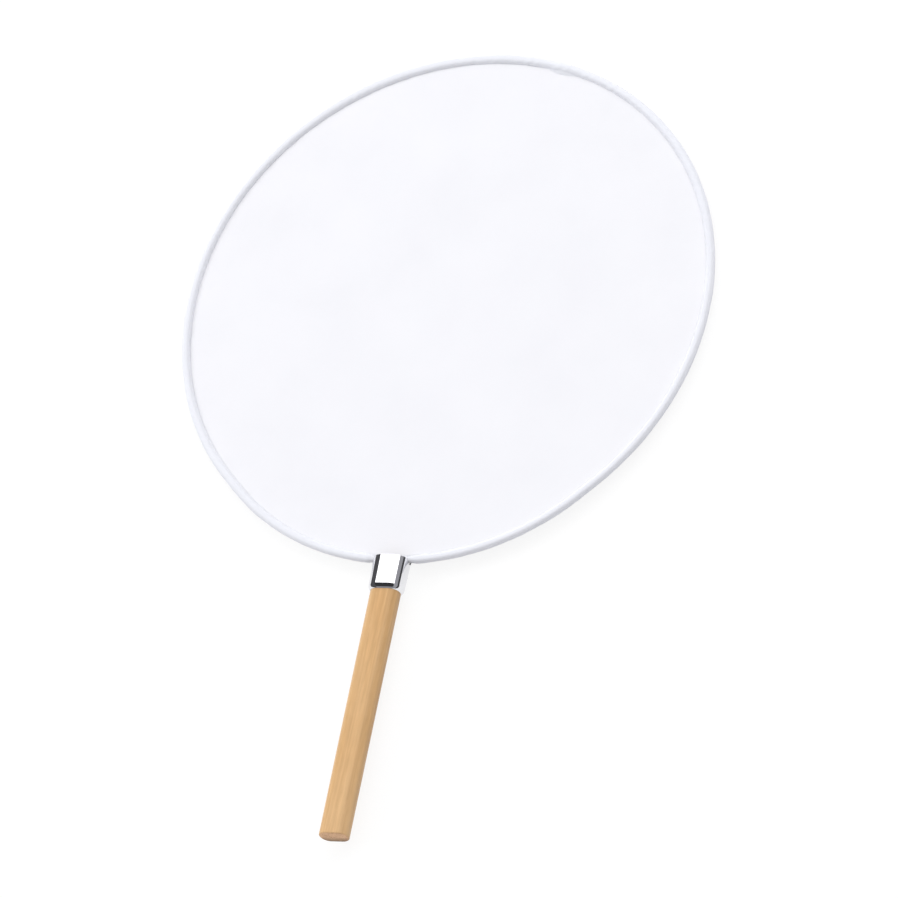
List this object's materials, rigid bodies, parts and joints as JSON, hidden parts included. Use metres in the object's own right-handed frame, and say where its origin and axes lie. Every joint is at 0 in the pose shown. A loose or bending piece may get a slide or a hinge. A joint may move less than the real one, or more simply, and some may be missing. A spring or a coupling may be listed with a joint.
{
  "type": "round uchiwa fan",
  "caption": "Rigid round hand fan: white fabric disc on a sprung wire hoop with a bound rim, held by a chrome ferrule on a straight oblong bamboo handle.",
  "frame": {"origin": "centre of the handle's butt end", "axes": "+Y along the handle towards the disc, +Z out of the front face of the disc, +X to the right when the front is seen with the handle down"},
  "size_m": [0.245, 0.3773, 0.012],
  "materials": {
    "panel_fabric": "thin smooth woven fabric, matte white",
    "binding_tape": "folded fabric tape, matte white",
    "spring_steel": "drawn spring wire",
    "sleeve_metal": "crimped, dull",
    "ferrule_chrome": "polished chrome plating",
    "handle_bamboo": "sanded bamboo, satin clear varnish, grain along the handle",
    "glue": "set glue, hidden"
  },
  "bodies": {
    "root": {"fabric_panel": "panel_fabric", "rim_binding": "binding_tape", "hoop_wire": "spring_steel", "tang_sleeve": "sleeve_metal", "ferrule": "ferrule_chrome", "handle": "handle_bamboo", "glue_plug": "glue"}
  },
  "joints": []
}
